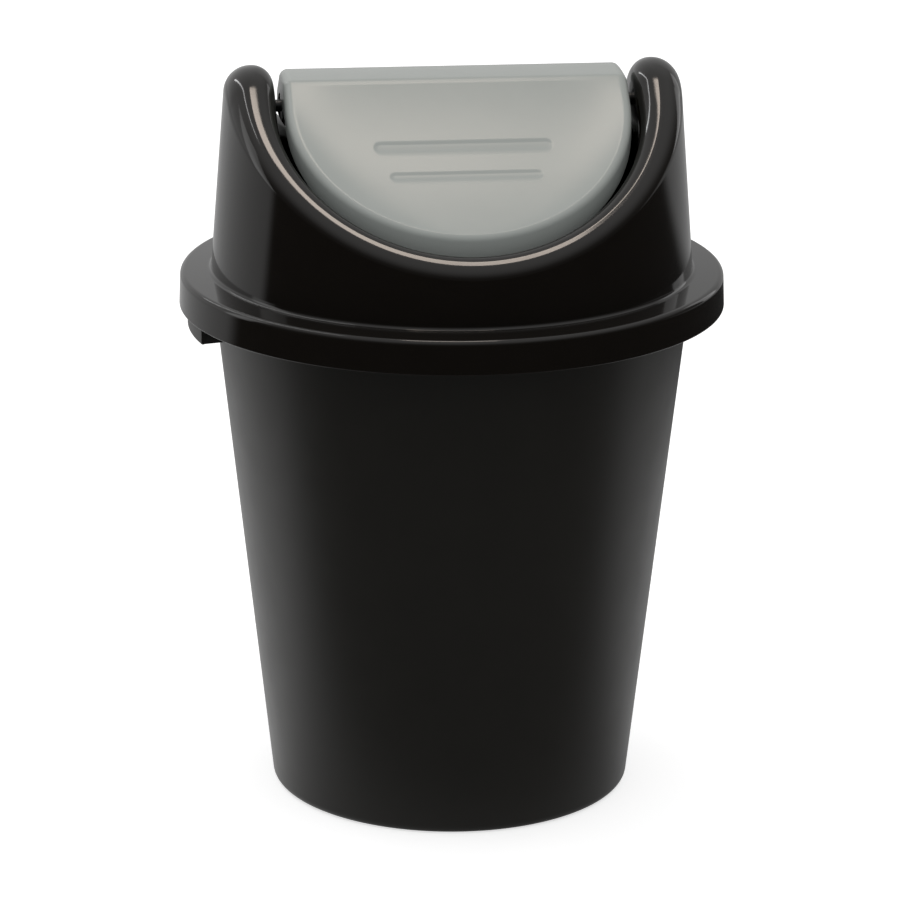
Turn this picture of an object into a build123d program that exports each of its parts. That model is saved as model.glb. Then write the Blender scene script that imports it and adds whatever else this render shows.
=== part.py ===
"""Swing-lid bin: a tapered round bucket, a lift-off hood, and a lid that swings in its mouth.

Sizes are in millimetres. +Z is up and the origin is the middle of the foot. The lid's pivot
lies along X, and the mouth opens to the front, -Y, and in the same way to the back.
"""
import os
from math import cos, degrees, radians, sin, tan

from build123d import *

# Bucket: a round tapered wall on a foot ring, with a floor set above the ground
foot_radius = 90.3
bucket_draft = 6.4
bucket_height = 265.6
bucket_wall = 2.2
foot_rounding = 4.5
foot_width = 9.0
foot_recess = 3.0
floor_thickness = 2.6
floor_corner = 4.0

# Rim of the bucket, turned out and down
rim_width = 12.0
rim_depth = 9.0
rim_wall = 2.0
rim_rounding = 1.4

# Finger grips: the lip of the rim runs lower there, between two end walls
grip_count = 2
grip_depth = 23.6
grip_angle = 22.0
grip_turn = 4.2
grip_end_wall = 2.2

# Hood: a skirt round the rim of the bucket, a ledge, and the tower with the mouth
hood_seat_gap = 0.3
hood_wall = 2.2
skirt_clearance = 1.2
skirt_height = 16.9
skirt_flare = 2.0
skirt_rounding = 2.6
ledge_width = 12.0
ledge_fall = 1.0
tower_height = 103.2
tower_draft = 4.4
tower_foot_fillet = 2.0

# Mouth: seen from the side it is a gable, round at the top, with one ear at each end of X
mouth_slope = 35.0
mouth_round = 32.0
ear_width = 23.4
front_lip = 18.4
rim_outer_round = 9.5
rim_inner_round = 7.5
flange_drop = 33.0

# Lid: a shell with a flat ridge, a sloping panel in front and behind, and a skirt
lid_gap = 3.8
lid_straight = 25.0
lid_below_hood_top = 4.4
ridge_half_depth = 13.5
ridge_round = 5.0
lid_edge_round = 3.2
lid_wall = 2.0
lid_skirt = 12.0

# Two shallow grip grooves across each panel, placed by their distance down the slope
groove_depth = 0.8
groove_width = 5.8
groove_lengths = (86.0, 73.0)
groove_places = (42.7, 61.6)

# Pivot: headed pins through the ears of the hood into bosses of the lid
pivot_below_hood_top = 20.0
pin_radius = 3.0
pin_clearance = 0.05
pin_head_radius = 5.0
pin_head_thickness = 2.0
pin_head_gap = 0.05
pin_chamfer = 0.5
boss_radius = 7.5
boss_length = 4.6
pin_past_boss = 1.2

# Slack within which an edge is picked by its place or its radius
pick_slack = 0.3

# Levels and radii that follow from the sizes above
rim_radius = foot_radius + bucket_height * tan(radians(bucket_draft)) + rim_width
seat_level = bucket_height + hood_seat_gap
skirt_top = seat_level + hood_wall
skirt_bottom = skirt_top - skirt_height
skirt_inner_radius = rim_radius + skirt_clearance
ledge_level = skirt_top + ledge_fall
tower_foot_radius = rim_radius - ledge_width
tower_top_radius = tower_foot_radius - tower_height * tan(radians(tower_draft))
hood_top = ledge_level + tower_height
mouth_centre = hood_top - mouth_round
mouth_half_width = tower_top_radius - ear_width
lid_half_width = mouth_half_width - lid_gap
lid_nose = tower_foot_radius - front_lip - lid_gap - lid_straight
ridge_level = hood_top - lid_below_hood_top
pivot_level = hood_top - pivot_below_hood_top
boss_inner_x = lid_half_width - boss_length
far = 3 * rim_radius


def bucket_radius(level: float) -> float:
    """Outer radius of the bucket's wall at a height above the ground."""
    return foot_radius + level * tan(radians(bucket_draft))


def tower_radius(level: float) -> float:
    """Outer radius of the hood's tower at a height above the ground."""
    return tower_foot_radius - (level - ledge_level) * tan(radians(tower_draft))


def plan_outline(grow: float) -> Sketch:
    """Outline of the lid from above: straight by the pivots, half an ellipse front and back."""
    width = lid_half_width + grow
    nose = lid_nose + grow
    with BuildSketch() as plan:
        with BuildLine():
            Line((width, -lid_straight), (width, lid_straight))
            EllipticalCenterArc((0, lid_straight), width, nose, start_angle=0, arc_size=180)
            Line((-width, lid_straight), (-width, -lid_straight))
            EllipticalCenterArc((0, -lid_straight), width, nose, start_angle=180, arc_size=180)
        make_face()
    return plan.sketch


def opening(grow: float, bottom: float) -> Part:
    """Upright bar with the lid's outline, from a level up past the hood."""
    with BuildPart() as bar:
        with BuildSketch(Plane.XY.offset(bottom)):
            add(plan_outline(grow))
        extrude(amount=hood_top + mouth_round - bottom)
    return bar.part


def tower_core(inset: float, bottom: float) -> Part:
    """Solid cone of the tower, set in from its outside."""
    top = hood_top + mouth_round
    with BuildPart() as core:
        with BuildSketch(Plane.XZ):
            Polygon(
                (0, bottom),
                (tower_radius(bottom) - inset, bottom),
                (tower_radius(top) - inset, top),
                (0, top),
                align=None,
            )
        revolve(axis=Axis.Z)
    return core.part


def under_mouth(inset: float, drop: float) -> Part:
    """All that lies below the gable of the mouth, set in squarely or dropped straight down."""
    radius = mouth_round - inset
    centre = mouth_centre - drop
    bend_y = radius * sin(radians(mouth_slope))
    bend_z = centre + radius * cos(radians(mouth_slope))
    low_z = bend_z - (far - bend_y) * tan(radians(mouth_slope))
    with BuildPart() as below:
        with BuildSketch(Plane.YZ):
            with BuildLine():
                CenterArc((0, centre), radius, 90 - mouth_slope, 2 * mouth_slope)
                Polyline((-bend_y, bend_z), (-far, low_z), (far, low_z), (bend_y, bend_z))
            make_face()
        extrude(amount=far, both=True)
    return below.part


def mouth_ring(inset: float, bottom: float) -> Part:
    """Thick ring round the mouth with both edges rolled over, set in from its surface."""
    with BuildPart() as ring:
        add(tower_core(inset, bottom))
        add(under_mouth(inset, 0), mode=Mode.INTERSECT)
        rim = ring.edges().filter_by(GeomType.LINE, reverse=True)
        fillet(rim.filter_by_position(Axis.Z, bottom + pick_slack, hood_top), rim_outer_round - inset)
        add(opening(lid_gap + inset, bottom), mode=Mode.SUBTRACT)
        lip = ring.edges(Select.LAST).filter_by(GeomType.LINE, reverse=True)
        fillet(lip.filter_by_position(Axis.Z, bottom + pick_slack, hood_top), rim_inner_round - inset)
    return ring.part


def below_flange() -> Part:
    """Hollow inside the tower, up to the lower edge of the flange round the mouth."""
    with BuildPart() as hollow:
        add(tower_core(hood_wall, seat_level - hood_wall))
        add(under_mouth(0, flange_drop), mode=Mode.INTERSECT)
    return hollow.part


def roof_level(y: float) -> float:
    """Height of the lid's roof at a distance in front of or behind the pivot."""
    return ridge_level - max(0.0, abs(y) - ridge_half_depth) * tan(radians(mouth_slope))


def is_above(edge: Edge, surface, drop: float) -> bool:
    """Whether the middle of an edge lies above a surface lowered by a drop."""
    middle = edge.position_at(0.5)
    return middle.Z > surface(middle.Y) - drop


def lid_block(inset: float, skirt: float) -> Part:
    """Lid's outline from above between its roof and the same roof dropped by the skirt."""
    ridge_y = ridge_half_depth - inset * tan(radians(mouth_slope / 2))
    top = ridge_level - inset
    low = top - (far - ridge_y) * tan(radians(mouth_slope))
    with BuildPart() as block:
        with BuildSketch(Plane.YZ):
            Polygon(
                (-ridge_y, top),
                (-far, low),
                (-far, low - skirt),
                (-ridge_y, top - skirt),
                (ridge_y, top - skirt),
                (far, low - skirt),
                (far, low),
                (ridge_y, top),
                align=None,
            )
        extrude(amount=far, both=True)
        bends = block.edges().filter_by(Axis.X).group_by(Axis.Z)[-1]
        fillet(bends, ridge_round - inset)
        add(opening(-inset, skirt_bottom), mode=Mode.INTERSECT)
        edges = block.edges().filter_by(Axis.X, reverse=True).filter_by(Axis.Z, reverse=True)
        roof = edges.filter_by(lambda edge: is_above(edge, roof_level, inset + skirt / 2))
        fillet(roof, lid_edge_round - inset)
    return block.part


def pivot_bar(side: int, start: float, end: float, radius: float) -> Part:
    """Round bar on the pivot's axis, on one side of the object, between two places along X."""
    with BuildPart() as bar:
        with BuildSketch(Plane.YZ.offset(side * start)):
            with Locations((0, pivot_level)):
                Circle(radius)
        extrude(amount=side * (end - start))
    return bar.part


def pivot_pin(side: int) -> Part:
    """Pin with a flat head behind the ear's inner wall and a chamfered end inside the lid."""
    start = boss_inner_x - pin_past_boss
    head = mouth_half_width + hood_wall + pin_head_gap
    with BuildPart() as pin:
        add(pivot_bar(side, start, head, pin_radius))
        add(pivot_bar(side, head, head + pin_head_thickness, pin_head_radius))
        ends = pin.edges().filter_by(GeomType.CIRCLE).sort_by(Axis.X, reverse=side < 0)
        chamfer(ends[0], pin_chamfer)
    return pin.part


with BuildPart() as bucket:
    rim_under = bucket_height - rim_wall
    lip_inner = rim_radius - rim_wall
    grip_bottom = bucket_height - grip_depth
    end_wall_angle = degrees(grip_end_wall / rim_radius)
    for turn in range(grip_count):
        middle = 180 + grip_turn + turn * 360 / grip_count
        with BuildSketch(Plane.XZ.rotated((0, 0, middle - grip_angle / 2))):
            Polygon(
                (bucket_radius(grip_bottom) - bucket_wall / 2, grip_bottom),
                (rim_radius, grip_bottom),
                (rim_radius, rim_under),
                (bucket_radius(rim_under) - bucket_wall / 2, rim_under),
                align=None,
            )
        revolve(axis=Axis.Z, revolution_arc=grip_angle)
        with BuildSketch(Plane.XZ.rotated((0, 0, middle - grip_angle / 2 + end_wall_angle))):
            Polygon(
                (bucket_radius(grip_bottom) - bucket_wall, grip_bottom),
                (lip_inner, grip_bottom),
                (lip_inner, rim_under),
                (bucket_radius(rim_under) - bucket_wall, rim_under),
                align=None,
            )
        revolve(axis=Axis.Z, revolution_arc=grip_angle - 2 * end_wall_angle, mode=Mode.SUBTRACT)
    floor_level = foot_recess + floor_thickness
    with BuildSketch(Plane.XZ):
        Polygon(
            (0, foot_recess),
            (foot_radius - foot_width, foot_recess),
            (foot_radius - foot_width, 0),
            (foot_radius, 0),
            (bucket_radius(rim_under), rim_under),
            (lip_inner, rim_under),
            (lip_inner, bucket_height - rim_depth),
            (rim_radius, bucket_height - rim_depth),
            (rim_radius, bucket_height),
            (bucket_radius(bucket_height) - bucket_wall, bucket_height),
            (bucket_radius(floor_level) - bucket_wall, floor_level),
            (0, floor_level),
            align=None,
        )
    revolve(axis=Axis.Z)
    rings = bucket.edges().filter_by(GeomType.CIRCLE)
    foot_edge = rings.group_by(Axis.Z)[0].sort_by(SortBy.RADIUS)[-1]
    rim_edge = rings.group_by(Axis.Z)[-1].sort_by(SortBy.RADIUS)[-1]
    floor_edge = rings.filter_by_position(Axis.Z, floor_level - pick_slack, floor_level + pick_slack)
    fillet(foot_edge, foot_rounding)
    fillet(rim_edge, rim_rounding)
    fillet(floor_edge, floor_corner)
bucket.part.label = "bucket"

with BuildPart() as hood:
    skirt_flare_out = skirt_height * tan(radians(skirt_flare))
    shoulder_radius = skirt_inner_radius + hood_wall
    add(mouth_ring(0, seat_level))
    with BuildSketch(Plane.XZ):
        Polygon(
            (tower_foot_radius - hood_wall, seat_level),
            (skirt_inner_radius, seat_level),
            (skirt_inner_radius + skirt_flare_out, skirt_bottom),
            (skirt_inner_radius + skirt_flare_out + hood_wall, skirt_bottom),
            (shoulder_radius, skirt_top),
            (tower_foot_radius - hood_wall, ledge_level),
            align=None,
        )
    revolve(axis=Axis.Z)
    add(mouth_ring(hood_wall, seat_level - hood_wall), mode=Mode.SUBTRACT)
    add(below_flange(), mode=Mode.SUBTRACT)
    rounds = hood.edges().filter_by(GeomType.CIRCLE)
    shoulder = rounds.filter_by(lambda edge: abs(edge.radius - shoulder_radius) < pick_slack)
    fillet(shoulder, skirt_rounding)
    rounds = hood.edges().filter_by(GeomType.CIRCLE)
    foot = rounds.filter_by(lambda edge: abs(edge.radius - tower_foot_radius) < pick_slack)
    fillet(foot.filter_by_position(Axis.Z, skirt_top, ledge_level + pick_slack), tower_foot_fillet)
    for side in (-1, 1):
        flange = mouth_half_width - lid_gap, mouth_half_width + 2 * hood_wall
        add(pivot_bar(side, *flange, pin_radius + pin_clearance), mode=Mode.SUBTRACT)
hood.part.label = "hood"

with BuildPart() as swing_lid:
    add(lid_block(0, lid_skirt))
    add(lid_block(lid_wall, 2 * lid_skirt), mode=Mode.SUBTRACT)
    tab_top = ridge_level - lid_edge_round
    for side in (-1, 1):
        with BuildSketch(Plane.YZ.offset(side * boss_inner_x)):
            with Locations((0, pivot_level)):
                Circle(boss_radius)
            with Locations((0, (pivot_level + tab_top) / 2)):
                Rectangle(2 * boss_radius, tab_top - pivot_level)
        extrude(amount=side * boss_length)
        hole = boss_inner_x - lid_gap, mouth_half_width
        add(pivot_bar(side, *hole, pin_radius + pin_clearance), mode=Mode.SUBTRACT)
    for facing in (-1, 1):
        panel = Plane(
            origin=(0, facing * ridge_half_depth, ridge_level),
            x_dir=(-facing, 0, 0),
            z_dir=(0, facing * sin(radians(mouth_slope)), cos(radians(mouth_slope))),
        )
        with BuildSketch(panel):
            for place, length in zip(groove_places, groove_lengths):
                with Locations((0, -place)):
                    SlotOverall(length, groove_width)
        extrude(amount=-groove_depth, mode=Mode.SUBTRACT)
swing_lid.part.label = "swing_lid"

left_pivot_pin = pivot_pin(-1)
left_pivot_pin.label = "left_pivot_pin"
right_pivot_pin = pivot_pin(1)
right_pivot_pin.label = "right_pivot_pin"

os.makedirs("parts", exist_ok=True)
export_step(bucket.part, "parts/bucket.step")
export_step(hood.part, "parts/hood.step")
export_step(swing_lid.part, "parts/swing_lid.step")
export_step(left_pivot_pin, "parts/left_pivot_pin.step")
export_step(right_pivot_pin, "parts/right_pivot_pin.step")
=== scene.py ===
"""Swing-lid bin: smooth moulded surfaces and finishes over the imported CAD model.

Lengths are in millimetres for the mouldings and in metres for the studio, and angles that are
settings are in degrees. The frame is the CAD model's: +Z up, the origin in the middle of the
foot, the front towards -Y. Each moulding is a closed surface worked out as a whole array, and
its object stands at the origin.
"""

import logging
from collections.abc import Mapping, Sequence
from dataclasses import dataclass
from enum import Enum

import bmesh
import bpy
import numpy as np
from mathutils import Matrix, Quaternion, Vector


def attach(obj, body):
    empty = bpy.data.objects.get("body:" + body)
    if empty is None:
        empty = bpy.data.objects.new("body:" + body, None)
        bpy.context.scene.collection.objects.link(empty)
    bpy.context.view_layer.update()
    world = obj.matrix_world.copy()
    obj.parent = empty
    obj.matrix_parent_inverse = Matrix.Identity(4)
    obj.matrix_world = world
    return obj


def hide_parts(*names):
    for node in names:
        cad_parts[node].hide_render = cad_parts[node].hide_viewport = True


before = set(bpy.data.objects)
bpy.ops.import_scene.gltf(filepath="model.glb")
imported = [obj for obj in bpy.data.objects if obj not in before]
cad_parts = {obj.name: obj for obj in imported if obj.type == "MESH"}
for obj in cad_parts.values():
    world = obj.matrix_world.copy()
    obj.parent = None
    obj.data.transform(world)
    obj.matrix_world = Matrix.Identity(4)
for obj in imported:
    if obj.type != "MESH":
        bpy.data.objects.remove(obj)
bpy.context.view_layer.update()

LOG = logging.getLogger("swing_lid_bin")
MM = 0.001
CHANNEL = "channel"
WHITE = (1.0, 1.0, 1.0, 1.0)

# Meshes, with the distances for merging in metres
MERGE_DISTANCE = 2e-6
FLAT_DISTANCE = 1e-7
LONGEST_MARGIN = 0.3
TINY = 1e-6

# Cloudy change of colour and polish, and the part of its range that noise really covers
CLOUD = {"Detail": 3.0, "Roughness": 0.55}
CLOUD_RANGE = {"From Min": 0.15, "From Max": 0.85}
WAVE_DETAIL = 1.0
GRAIN_DETAIL = 2.0

# Fits between the mouldings
LID_GAP = 3.8
PIN_BEYOND_BOSS = 1.2
HEAD_CLEARANCE = 0.05

# Kinds of node, most with their settings, for add_node
NOISE = "ShaderNodeTexNoise"
FLOAT_MIX = ("ShaderNodeMix", {"data_type": "FLOAT"})
COLOUR_MIX = ("ShaderNodeMix", {"data_type": "RGBA"})
SMOOTH_RAMP = ("ShaderNodeMapRange", {"interpolation_type": "SMOOTHSTEP"})

Array = np.ndarray
Piece = bpy.types.Object
Socket = bpy.types.NodeSocket
Tree = bpy.types.NodeTree
Pairs = Sequence[tuple[float, float]]


class Body(Enum):
    """The CAD body that a piece moves with."""

    BUCKET = "bucket"
    HOOD = "hood"
    LID = "lid"


class Side(Enum):
    """Left or right of the middle, along X."""

    LEFT = -1
    RIGHT = 1


# ---- small geometry ----


def smooth_step(value: Array) -> Array:
    """S-shaped ramp: 0 below 0, 1 above 1, and 3t^2 - 2t^3 between."""
    t = np.clip(value, 0.0, 1.0)
    return t * t * (3.0 - 2.0 * t)


def rounded_path(
    corners: Pairs, radii: Sequence[float], steps: int = 8, margin: float = 0.4
) -> Array:
    """Open path through corners, each inner corner cut by an arc that is tangent to both sides.

    With u and v the unit directions from a corner to its neighbours and f the angle between
    them, the arc starts radius / tan(f/2) along u, and its centre is radius / sin(f/2) along
    the bisector. Each straight run has a point near both its ends, which keeps it flat.

    Args:
        corners: The n corner points.
        radii: Radius at each inner corner, n - 2 of them.
        steps: Points on each arc.
        margin: Distance from a run's end to the point that holds it flat, on a long run.

    Returns:
        Points along the path, (m, 2); m depends only on n and steps.
    """
    points = np.asarray(corners, float)
    back = points[:-2] - points[1:-1]
    ahead = points[2:] - points[1:-1]
    u = back / np.linalg.norm(back, axis=1, keepdims=True)
    v = ahead / np.linalg.norm(ahead, axis=1, keepdims=True)
    half = np.arccos(np.clip((u * v).sum(1), -1, 1)) / 2
    radius = np.asarray(radii, float)
    bisector = (u + v) / np.linalg.norm(u + v, axis=1, keepdims=True)
    centre = points[1:-1] + bisector * (radius / np.sin(half))[:, None]
    start = points[1:-1] + u * (radius / np.tan(half))[:, None] - centre
    turn = np.sign(u[:, 1] * v[:, 0] - u[:, 0] * v[:, 1]) * (np.pi - 2 * half)
    angle = turn[:, None] * np.linspace(0, 1, steps)
    across = np.stack([-start[:, 1], start[:, 0]], axis=1)
    arcs = (
        centre[:, None]
        + start[:, None] * np.cos(angle)[..., None]
        + across[:, None] * np.sin(angle)[..., None]
    )
    run_start = np.concatenate([points[:1], arcs[:, -1]])
    run_end = np.concatenate([arcs[:, 0], points[-1:]])
    length = np.linalg.norm(run_end - run_start, axis=1)
    share = (np.minimum(margin, LONGEST_MARGIN * length) / np.maximum(length, TINY))[:, None]
    near = run_start + (run_end - run_start) * share
    far = run_end - (run_end - run_start) * share
    blocks = np.concatenate([near[:-1, None], far[:-1, None], arcs], axis=1).reshape(-1, 2)
    return np.concatenate([points[:1], blocks, near[-1:], far[-1:], points[-1:]])


def spin(rows: Array, azimuth: Array) -> Array:
    """Points (r cos a, r sin a, z) from rows of (r, z) and azimuths in radians.

    Args:
        rows: (rows, 2) for a plain turned shape, or (rows, columns, 2) where it changes.
        azimuth: (columns,).

    Returns:
        Grid of points, (rows, columns, 3).
    """
    wide = rows[:, None, :] if rows.ndim == 2 else rows
    r, z = np.broadcast_arrays(wide[..., 0], wide[..., 1])
    r, z, a = np.broadcast_arrays(r, z, azimuth[None, :])
    return np.stack([r * np.cos(a), r * np.sin(a), z], axis=-1)


def grid_faces(rows: int, columns: int, wrap: bool) -> Array:
    """Quads of a grid, wound so that column step x row step points outwards.

    Args:
        rows: Number of rows.
        columns: Number of columns.
        wrap: Whether the last column joins the first.

    Returns:
        Vertex numbers, (n, 4).
    """
    index = np.arange(rows * columns).reshape(rows, columns)
    if wrap:
        index = np.concatenate([index, index[:, :1]], axis=1)
    quads = [index[:-1, :-1], index[:-1, 1:], index[1:, 1:], index[1:, :-1]]
    return np.stack(quads, axis=-1).reshape(-1, 4)


@dataclass
class Patch:
    """One grid of points that forms part of a piece's skin."""

    grid: Array
    wrap: bool = False
    inward: bool = False

    def faces(self) -> Array:
        """Quads of the patch, turned over where the grid runs the other way."""
        quads = grid_faces(*self.grid.shape[:2], self.wrap)
        return quads[:, ::-1] if self.inward else quads


def add_object(name: str, data: bpy.types.ID) -> Piece:
    """Object with the given data, linked to the scene at the origin."""
    made = bpy.data.objects.new(name, data)
    bpy.context.scene.collection.objects.link(made)
    return made


def add_aimed(name: str, data: bpy.types.ID, place: Vector, way: Vector, twist: float) -> Piece:
    """Lamp or camera that looks along a direction.

    Args:
        name: Name of the object.
        data: Its lamp or camera.
        place: Where it stands, in metres.
        way: Direction that it looks along.
        twist: Turn about its own axis.

    Returns:
        The object.
    """
    made = add_object(name, data)
    made.location = place
    made.rotation_mode = "QUATERNION"
    roll = Quaternion((0.0, 0.0, 1.0), float(np.radians(twist)))
    made.rotation_quaternion = way.to_track_quat("-Z", "Y") @ roll
    return made


def make_piece(name: str, patches: Sequence[Patch]) -> Piece:
    """Mesh object from patches, with their common edges, seams and poles merged.

    Args:
        name: Name of the piece.
        patches: Grids in millimetres that together close the piece.

    Returns:
        Smooth-shaded object at the origin, in metres.
    """
    sizes = [patch.grid.shape[0] * patch.grid.shape[1] for patch in patches]
    starts = np.concatenate([[0], np.cumsum(sizes)[:-1]])
    points = np.concatenate([patch.grid.reshape(-1, 3) for patch in patches]) * MM
    quads = np.concatenate([patch.faces() + start for patch, start in zip(patches, starts)])
    mesh = bpy.data.meshes.new(name)
    mesh.from_pydata(points.tolist(), [], quads.tolist())
    work = bmesh.new()
    work.from_mesh(mesh)
    bmesh.ops.remove_doubles(work, verts=work.verts, dist=MERGE_DISTANCE)
    bmesh.ops.dissolve_degenerate(work, edges=work.edges, dist=FLAT_DISTANCE)
    open_edges = sum(1 for edge in work.edges if not edge.is_manifold)
    work.to_mesh(mesh)
    work.free()
    mesh.polygons.foreach_set("use_smooth", np.ones(len(mesh.polygons), bool))
    mesh.update()
    LOG.info("%s: %d faces, %d open edges", name, len(mesh.polygons), open_edges)
    return add_object(name, mesh)


def plate(outline: Array, span: tuple[float, float], layers: Pairs) -> Array:
    """Closed plate: a convex outline stacked at several depths, closed by a point at both ends.

    The outline at each depth is drawn in towards its centre by the inset over its mean radius.

    Args:
        outline: Closed outline without its repeated end, (n, 2).
        span: Where the plate's two faces lie.
        layers: Depth below a face, and inset, of each of the m layers beside it.

    Returns:
        Grid (2 m + 2, n, 3) of outline u, outline v and depth.
    """
    below, inset = np.array(layers).T
    depths = np.concatenate([span[0] + below, span[1] - below[::-1]])
    insets = np.concatenate([inset, inset[::-1]])
    middle = outline.mean(0)
    offset = outline - middle
    reach = np.linalg.norm(offset, axis=1).mean()
    share = np.concatenate([[0.0], 1.0 - insets / reach, [0.0]])
    flat = middle + offset[None] * share[:, None, None]
    level = np.concatenate([depths[:1], depths, depths[-1:]])
    deep = np.broadcast_to(level[:, None, None], (*flat.shape[:2], 1))
    return np.concatenate([flat, deep], axis=-1)


# ---- finishes ----


def linear_colour(code: str) -> tuple[float, float, float, float]:
    """Linear RGBA from an sRGB hex code."""
    srgb = np.array([int(code[i : i + 2], 16) for i in (1, 3, 5)]) / 255.0
    linear = np.where(srgb <= 0.04045, srgb / 12.92, ((srgb + 0.055) / 1.055) ** 2.4)
    return (*linear.tolist(), 1.0)


def empty_tree(holder: bpy.types.Material | bpy.types.World) -> Tree:
    """Node tree of a material or world, switched on and emptied."""
    holder.use_nodes = True
    holder.node_tree.nodes.clear()
    return holder.node_tree


def add_node(
    tree: Tree,
    kind: str,
    settings: Mapping[str, object] | None = None,
    inputs: Mapping[str | int, object] | None = None,
) -> bpy.types.Node:
    """Adds a node, sets its properties, and fills or links its inputs.

    Args:
        tree: Node tree that gets the node.
        kind: Blender's name of the node type.
        settings: Properties of the node.
        inputs: Values or output sockets, by the input's name or number.

    Returns:
        The node.
    """
    node = tree.nodes.new(kind)
    for name, value in (settings or {}).items():
        setattr(node, name, value)
    for name, value in (inputs or {}).items():
        if isinstance(value, Socket):
            tree.links.new(value, node.inputs[name])
        else:
            node.inputs[name].default_value = value
    return node


@dataclass(frozen=True)
class MouldedPlastic:
    """Injection-moulded polypropylene: two close colours, a fine grain and slow waves.

    The grain is the texture of the tool's surface. The waves are the slight sink and ripple
    that a cooling wall leaves, which bend reflections on a glossy face.
    """

    name: str
    colour: str
    second_colour: str
    roughness: float
    roughness_change: float
    grain_mm: float
    grain_depth_mm: float
    wave_mm: float
    wave_depth_mm: float
    cloud_mm: float = 18.0
    ior: float = 1.49
    specular: float = 0.5
    channel_roughness: float | None = None

    def dulled(self, tree: Tree, roughness: Socket) -> Socket:
        """Roughness that turns to the coarser texture of the tool where a piece is marked.

        Args:
            tree: Node tree that gets the nodes.
            roughness: Roughness elsewhere.

        Returns:
            Socket with the roughness.
        """
        if self.channel_roughness is None:
            return roughness
        marked = add_node(tree, "ShaderNodeAttribute", {"attribute_name": CHANNEL})
        mix = {0: marked.outputs["Fac"], 2: roughness, 3: self.channel_roughness}
        return add_node(tree, *FLOAT_MIX, mix).outputs[0]

    def material(self) -> bpy.types.Material:
        """Node material that reads Object coordinates, in metres."""
        made = bpy.data.materials.new(self.name)
        tree = empty_tree(made)
        place = add_node(tree, "ShaderNodeTexCoord").outputs["Object"]
        noise = {"Vector": place, "Scale": 1 / (self.cloud_mm * MM), **CLOUD}
        cloud = add_node(tree, NOISE, inputs=noise).outputs["Fac"]
        colours = {6: linear_colour(self.colour), 7: linear_colour(self.second_colour)}
        colour = add_node(tree, *COLOUR_MIX, {0: cloud, **colours})
        spread = {
            "Value": cloud,
            **CLOUD_RANGE,
            "To Min": self.roughness - self.roughness_change,
            "To Max": self.roughness + self.roughness_change,
        }
        polish = add_node(tree, "ShaderNodeMapRange", inputs=spread)
        normal: dict[str, Socket] = {}
        for size, depth, detail in (
            (self.wave_mm, self.wave_depth_mm, WAVE_DETAIL),
            (self.grain_mm, self.grain_depth_mm, GRAIN_DETAIL),
        ):
            noise = {"Vector": place, "Scale": 1 / (size * MM), "Detail": detail}
            height = add_node(tree, NOISE, inputs=noise).outputs["Fac"]
            relief = {"Strength": 1.0, "Distance": depth * MM, "Height": height}
            bump = add_node(tree, "ShaderNodeBump", inputs={**relief, **normal})
            normal = {"Normal": bump.outputs["Normal"]}
        look = {
            "Base Color": colour.outputs[2],
            "Roughness": self.dulled(tree, polish.outputs["Result"]),
            "IOR": self.ior,
            "Specular IOR Level": self.specular,
        }
        shader = add_node(tree, "ShaderNodeBsdfPrincipled", inputs={**look, **normal})
        add_node(tree, "ShaderNodeOutputMaterial", inputs={"Surface": shader.outputs["BSDF"]})
        return made


# Polypropylene from a lightly textured tool: a satin black with broad, soft reflections
SATIN_BLACK_POLYPROPYLENE = MouldedPlastic(
    name="satin_black_moulded_polypropylene",
    colour="#15130f",
    second_colour="#1a1813",
    roughness=0.36,
    roughness_change=0.03,
    grain_mm=0.7,
    grain_depth_mm=0.006,
    wave_mm=34.0,
    wave_depth_mm=0.02,
)

# The same plastic from a polished tool: deep gloss, with reflections that ripple slightly
GLOSS_BLACK_POLYPROPYLENE = MouldedPlastic(
    name="gloss_black_moulded_polypropylene",
    colour="#0f0c09",
    second_colour="#13100d",
    roughness=0.09,
    roughness_change=0.015,
    grain_mm=1.2,
    grain_depth_mm=0.0015,
    wave_mm=30.0,
    wave_depth_mm=0.025,
)

# Pigmented polypropylene with a fine satin texture: even grey, one soft reflection from above,
# and dull grip grooves where the tool's texture is coarser
SATIN_GREY_POLYPROPYLENE = MouldedPlastic(
    name="satin_grey_moulded_polypropylene",
    colour="#9fa4a1",
    second_colour="#a4a9a6",
    roughness=0.26,
    roughness_change=0.01,
    grain_mm=0.6,
    grain_depth_mm=0.004,
    wave_mm=40.0,
    wave_depth_mm=0.02,
    specular=0.45,
    channel_roughness=0.42,
)

# Acetal pins, turned dark by carbon black and worn a little shiny where the lid turns on them
BLACK_ACETAL = MouldedPlastic(
    name="black_moulded_acetal",
    colour="#151515",
    second_colour="#1b1b1a",
    roughness=0.3,
    roughness_change=0.05,
    grain_mm=0.5,
    grain_depth_mm=0.004,
    wave_mm=12.0,
    wave_depth_mm=0.01,
    ior=1.48,
)


@dataclass
class Assembly:
    """Shared work of every sub-assembly: putting a finished piece on its body."""

    def place(
        self,
        piece: Piece,
        body: Body,
        slot: str,
        finish: bpy.types.Material,
        nodes: Sequence[str] = (),
    ) -> Piece:
        """Gives a piece its body and finish, and hides the CAD nodes that it stands for.

        Args:
            piece: The finished piece.
            body: Body that it moves with.
            slot: Not used.
            finish: Material of the piece.
            nodes: CAD nodes that it replaces.

        Returns:
            The same piece.
        """
        piece.data.materials.clear()
        piece.data.materials.append(finish)
        if nodes:
            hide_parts(*nodes)
        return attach(piece, body.value)


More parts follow.
